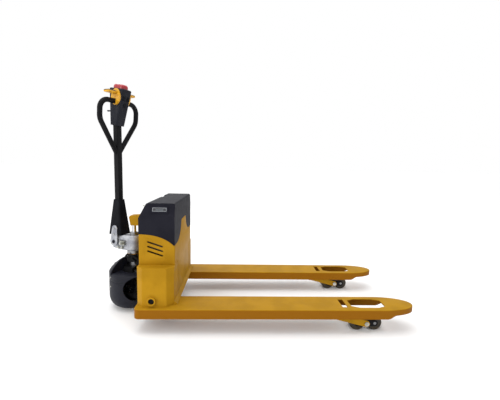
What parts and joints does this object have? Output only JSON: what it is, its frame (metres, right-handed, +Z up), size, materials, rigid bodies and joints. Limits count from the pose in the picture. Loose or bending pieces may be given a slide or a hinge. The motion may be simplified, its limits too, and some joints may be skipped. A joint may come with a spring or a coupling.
{
  "type": "electric pallet truck",
  "caption": "Electric pallet truck with two forks on tandem rollers, a battery chassis that lifts on a central ram, and a steered drive wheel with a looped tiller.",
  "frame": {"origin": "on the floor, at the centre of the truck's bounding box", "axes": "+X towards the fork tips, +Y to the left as the driver faces the forks, +Z up; forks at travel height, tiller upright and swung 26 degrees to the left"},
  "size_m": [1.5889, 0.685, 1.196],
  "materials": {
    "yellow_paint": "industrial yellow gloss paint",
    "dark_paint": "black semi-gloss powder coat",
    "steel": "machined steel",
    "zinc": "zinc plated fastener",
    "chrome": "hard chrome",
    "cast_aluminium": "as-cast aluminium",
    "hood_plastic": "charcoal moulded plastic",
    "shroud_plastic": "black moulded plastic",
    "rubber": "black rubber",
    "tyre": "dark polyurethane tread",
    "hub": "painted cast hub",
    "roller": "dark polyurethane roller",
    "red_plastic": "red safety button",
    "yellow_plastic": "yellow moulding",
    "window": "smoked display window",
    "battery_case": "battery case",
    "bronze": "bronze washer"
  },
  "bodies": {
    "collar": {"thrust_collar": "steel", "thrust_washer": "bronze"},
    "chassis": {"left_fork": "yellow_paint", "right_fork": "yellow_paint", "left_shoulder": "yellow_paint", "right_shoulder": "yellow_paint", "battery_box": "yellow_paint", "load_ledge": "yellow_paint", "lift_bracket": "yellow_paint", "piston_rod": "chrome", "hood": "hood_plastic", "hood_screws": "zinc", "gauge_frame": "hood_plastic", "gauge_window": "window", "key_switch": "hood_plastic", "arm_pivot_pins": "steel", "battery": "battery_case", "controller": "cast_aluminium"},
    "key": {"ignition_key": "zinc"},
    "crank": {"bell_crank": "dark_paint", "crank_pins": "steel"},
    "drive_unit": {"wheel_yoke": "dark_paint", "wheel_axle": "steel", "drive_motor": "dark_paint", "shroud": "shroud_plastic", "shroud_screws": "zinc", "lift_cylinder": "steel", "cylinder_gland": "steel", "pump_casting": "cast_aluminium", "pump_motor": "dark_paint", "hydraulic_fittings": "zinc", "tiller_hinge_pin": "steel"},
    "drive_wheel": {"drive_tyre": "tyre", "drive_hub": "hub"},
    "tiller": {"tiller_shaft": "dark_paint", "tiller_boot": "rubber", "left_loop": "dark_paint", "right_loop": "dark_paint", "control_head": "shroud_plastic", "side_plates": "yellow_plastic"},
    "throttle_wings": {"throttle": "yellow_plastic"},
    "belly": {"belly_button": "red_plastic"},
    "horn": {"horn_button": "rubber"},
    "raise": {"raise_button": "rubber"},
    "lower": {"lower_button": "rubber"},
    "lever": {"finger_lever": "shroud_plastic"},
    "left_rod": {"left_push_rod": "steel"},
    "left_arm": {"left_roller_arm": "yellow_paint", "left_bogie_bolts": "zinc"},
    "left_tandem": {"left_bogie": "dark_paint", "left_roller_axles": "steel"},
    "left_rear_wheel": {"left_rear_roller": "roller"},
    "left_front_wheel": {"left_front_roller": "roller"},
    "right_rod": {"right_push_rod": "steel"},
    "right_arm": {"right_roller_arm": "yellow_paint", "right_bogie_bolts": "zinc"},
    "right_tandem": {"right_bogie": "dark_paint", "right_roller_axles": "steel"},
    "right_rear_wheel": {"right_rear_roller": "roller"},
    "right_front_wheel": {"right_front_roller": "roller"}
  },
  "joints": [
    {"name": "lift", "type": "slide", "parent": "collar", "child": "chassis", "axis": [0, 0, 1], "range_m": [-0.035, 0.08]},
    {"name": "steer", "type": "hinge", "parent": "collar", "child": "drive_unit", "pos_m": [-0.6395, 0, 0.25], "axis": [0, 0, 1], "range_deg": [-64, 116]},
    {"name": "drive_spin", "type": "hinge", "parent": "drive_unit", "child": "drive_wheel", "pos_m": [-0.6395, 0, 0.105], "axis": [0.4384, 0.8988, 0], "continuous": true},
    {"name": "tiller_tilt", "type": "hinge", "parent": "drive_unit", "child": "tiller", "pos_m": [-0.73298, 0.04559, 0.35], "axis": [-0.4384, -0.8988, 0], "range_deg": [0, 75], "stiffness_Nm_per_rad": 36, "springref_deg": -20.05},
    {"name": "throttle_turn", "type": "hinge", "parent": "tiller", "child": "throttle_wings", "pos_m": [-0.70935, 0.03407, 1.14593], "axis": [0.4384, 0.8988, 0], "range_deg": [-25, 25], "stiffness_Nm_per_rad": 0.6},
    {"name": "belly_press", "type": "slide", "parent": "tiller", "child": "belly", "axis": [-0.1406, 0.0686, -0.9877], "range_m": [0, 0.005], "stiffness_N_per_m": 900, "springref_m": -0.003},
    {"name": "horn_press", "type": "slide", "parent": "tiller", "child": "horn", "axis": [-0.8877, 0.433, 0.1564], "range_m": [0, 0.0025], "stiffness_N_per_m": 400, "springref_m": -0.002},
    {"name": "raise_press", "type": "slide", "parent": "tiller", "child": "raise", "axis": [-0.8877, 0.433, 0.1564], "range_m": [0, 0.0025], "stiffness_N_per_m": 400, "springref_m": -0.002},
    {"name": "lower_press", "type": "slide", "parent": "tiller", "child": "lower", "axis": [-0.8877, 0.433, 0.1564], "range_m": [0, 0.0025], "stiffness_N_per_m": 400, "springref_m": -0.002},
    {"name": "finger_pull", "type": "hinge", "parent": "tiller", "child": "lever", "pos_m": [-0.74154, 0.04977, 1.06048], "axis": [0.4384, 0.8988, 0], "range_deg": [-10, 10], "stiffness_Nm_per_rad": 0.2},
    {"name": "key_turn", "type": "hinge", "parent": "chassis", "child": "key", "pos_m": [-0.5225, -0.15, 0.563], "axis": [-0.8995, 0, 0.4369], "range_deg": [0, 90]},
    {"name": "crank_turn", "type": "hinge", "parent": "chassis", "child": "crank", "pos_m": [-0.4685, 0, 0.15], "axis": [0, 1, 0], "range_deg": [-19.61, 8.63]},
    {"name": "left_rod_turn", "type": "hinge", "parent": "crank", "child": "left_rod", "pos_m": [-0.47281, 0.2625, 0.10521], "axis": [0, 1, 0], "range_deg": [-8.63, 19.61]},
    {"name": "left_arm_turn", "type": "hinge", "parent": "chassis", "child": "left_arm", "pos_m": [0.3945, 0.2625, 0.078], "axis": [0, 1, 0], "range_deg": [-13.58, 30.9]},
    {"name": "left_tandem_tilt", "type": "hinge", "parent": "left_arm", "child": "left_tandem", "pos_m": [0.55432, 0.2625, 0.037], "axis": [0, 1, 0], "range_deg": [-30, 15]},
    {"name": "left_rear_spin", "type": "hinge", "parent": "left_tandem", "child": "left_rear_wheel", "pos_m": [0.51233, 0.2625, 0.037], "axis": [0, 1, 0], "continuous": true},
    {"name": "left_front_spin", "type": "hinge", "parent": "left_tandem", "child": "left_front_wheel", "pos_m": [0.59632, 0.2625, 0.037], "axis": [0, 1, 0], "continuous": true},
    {"name": "right_rod_turn", "type": "hinge", "parent": "crank", "child": "right_rod", "pos_m": [-0.47281, -0.2625, 0.10521], "axis": [0, 1, 0], "range_deg": [-8.63, 19.61]},
    {"name": "right_arm_turn", "type": "hinge", "parent": "chassis", "child": "right_arm", "pos_m": [0.3945, -0.2625, 0.078], "axis": [0, 1, 0], "range_deg": [-13.58, 30.9]},
    {"name": "right_tandem_tilt", "type": "hinge", "parent": "right_arm", "child": "right_tandem", "pos_m": [0.55432, -0.2625, 0.037], "axis": [0, 1, 0], "range_deg": [-30, 15]},
    {"name": "right_rear_spin", "type": "hinge", "parent": "right_tandem", "child": "right_rear_wheel", "pos_m": [0.51233, -0.2625, 0.037], "axis": [0, 1, 0], "continuous": true},
    {"name": "right_front_spin", "type": "hinge", "parent": "right_tandem", "child": "right_front_wheel", "pos_m": [0.59632, -0.2625, 0.037], "axis": [0, 1, 0], "continuous": true}
  ],
  "couplings": [
    {"joint": "crank_turn", "follows": "lift", "rad_per_m": -4.256},
    {"joint": "left_rod_turn", "follows": "lift", "rad_per_m": 4.256},
    {"joint": "left_arm_turn", "follows": "lift", "rad_per_m": 6.72},
    {"joint": "right_rod_turn", "follows": "lift", "rad_per_m": 4.256},
    {"joint": "right_arm_turn", "follows": "lift", "rad_per_m": 6.72}
  ]
}
